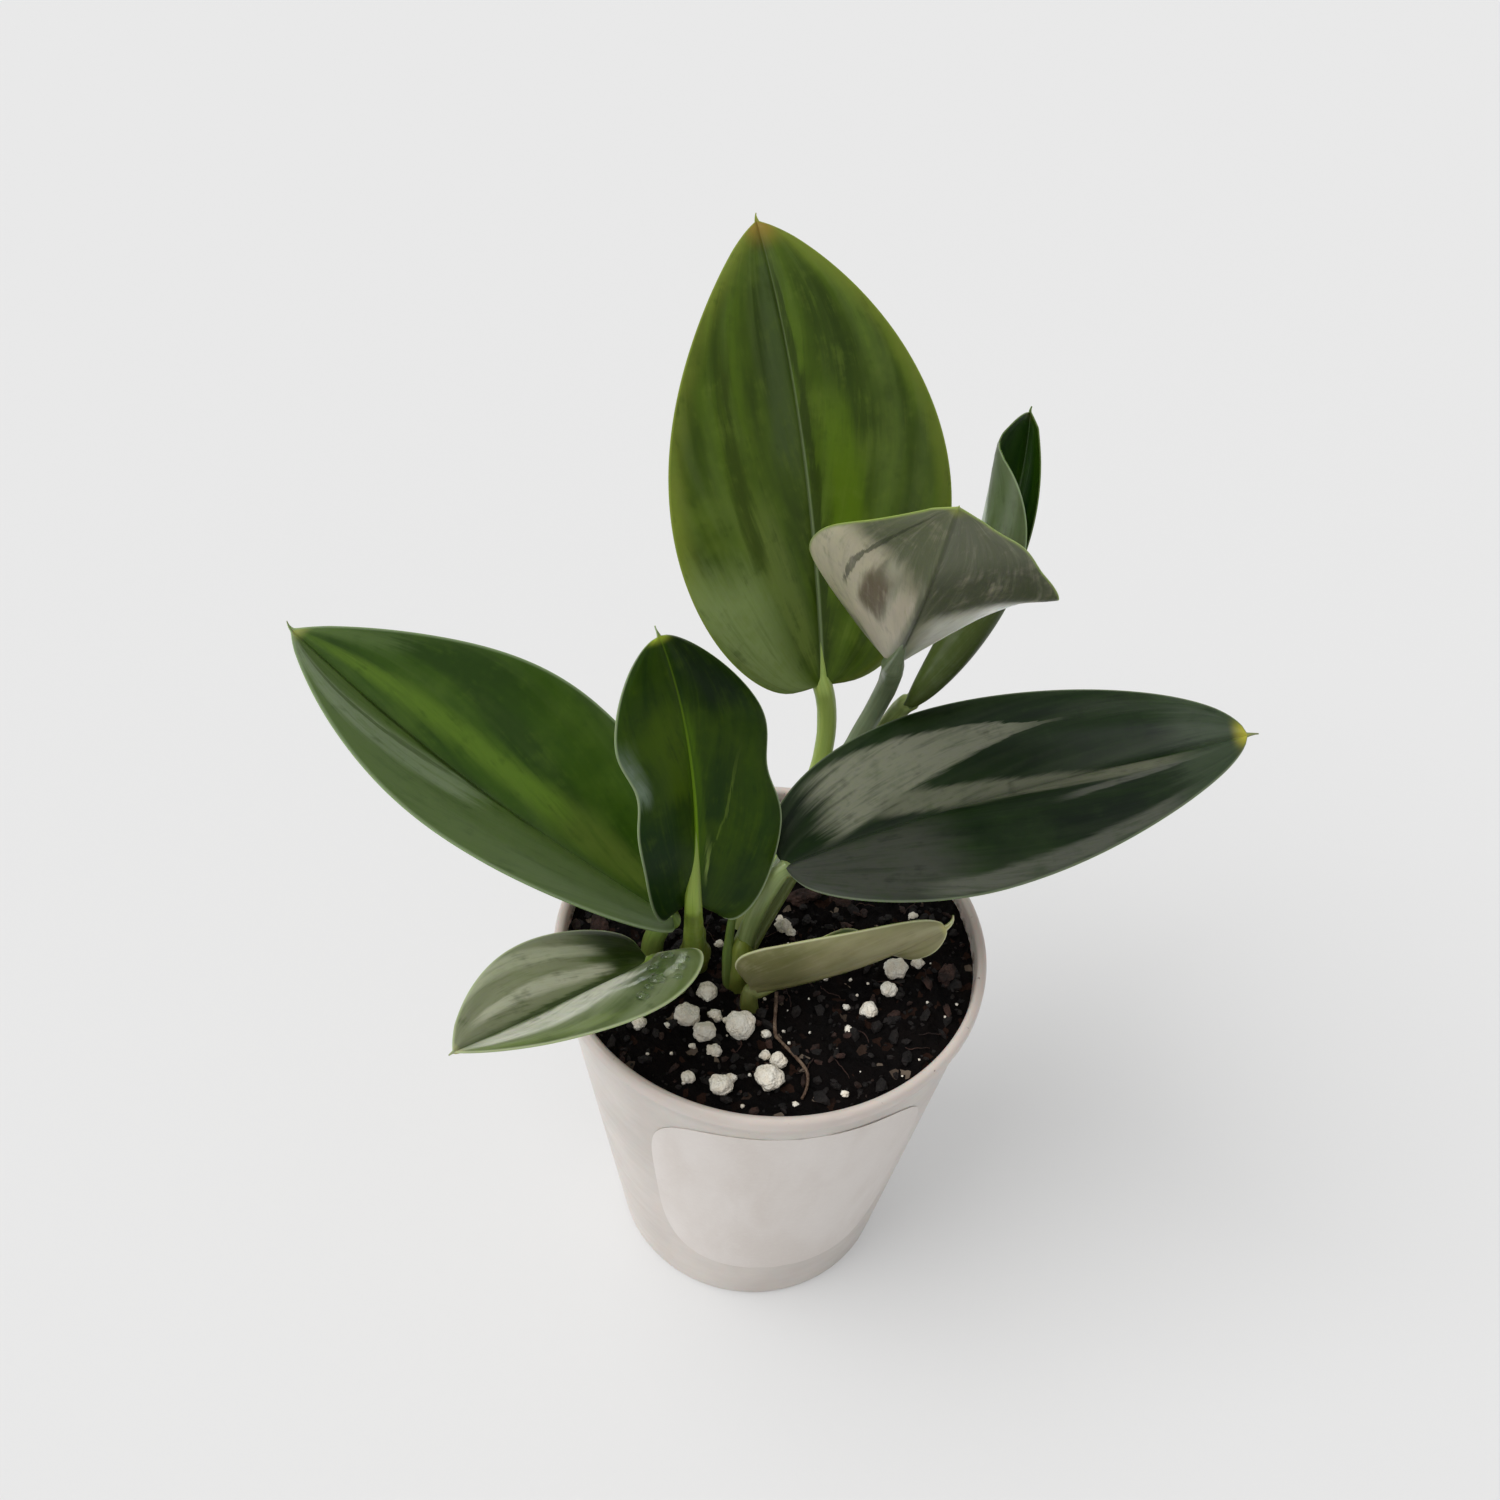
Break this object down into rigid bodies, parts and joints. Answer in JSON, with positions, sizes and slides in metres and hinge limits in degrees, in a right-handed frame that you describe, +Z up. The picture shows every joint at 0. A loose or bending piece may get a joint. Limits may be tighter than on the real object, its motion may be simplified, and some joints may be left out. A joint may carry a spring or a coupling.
{
  "type": "potted scindapsus",
  "caption": "Young scindapsus with glossy ovate leaves on short crowns, in a tapered plastic cup of dark potting mix with white perlite and a blank sticker.",
  "frame": {"origin": "centre of the cup's flat base, on the surface that it stands on", "axes": "+Z up along the cup's axis, -Y toward the side with the sticker, +X to the right of it"},
  "size_m": [0.1214, 0.0896, 0.1432],
  "materials": {
    "pot_plastic": "satin",
    "label_paper": "satin",
    "soil": "matte",
    "stem": "satin",
    "petiole": "satin",
    "back_leaf": "satin",
    "left_leaf": "satin",
    "middle_leaf": "satin",
    "right_leaf": "satin",
    "folded_leaf": "satin",
    "rolled_leaf": "satin",
    "lower_left_leaf": "satin",
    "lower_right_leaf": "satin",
    "perlite": "matte",
    "bark": "matte",
    "root": "matte"
  },
  "bodies": {
    "root": {"pot": "pot_plastic", "label": "label_paper", "soil": "soil", "left_stem": "stem", "right_stem": "stem", "back_leaf": "back_leaf", "left_leaf": "left_leaf", "middle_leaf": "middle_leaf", "right_leaf": "right_leaf", "folded_leaf": "folded_leaf", "rolled_leaf": "rolled_leaf", "lower_left_leaf": "lower_left_leaf", "lower_right_leaf": "lower_right_leaf", "back_petiole": "petiole", "left_petiole": "petiole", "middle_petiole": "petiole", "right_petiole": "petiole", "folded_petiole": "petiole", "rolled_petiole": "petiole", "lower_left_petiole": "petiole", "lower_right_petiole": "petiole", "perlite_01": "perlite", "perlite_02": "perlite", "perlite_03": "perlite", "perlite_04": "perlite", "perlite_05": "perlite", "perlite_06": "perlite", "perlite_07": "perlite", "perlite_08": "perlite", "perlite_09": "perlite", "perlite_10": "perlite", "perlite_11": "perlite", "perlite_12": "perlite", "perlite_13": "perlite", "perlite_14": "perlite", "bark_01": "bark", "bark_02": "bark", "bark_03": "bark", "bark_04": "bark", "root": "root"}
  },
  "joints": []
}
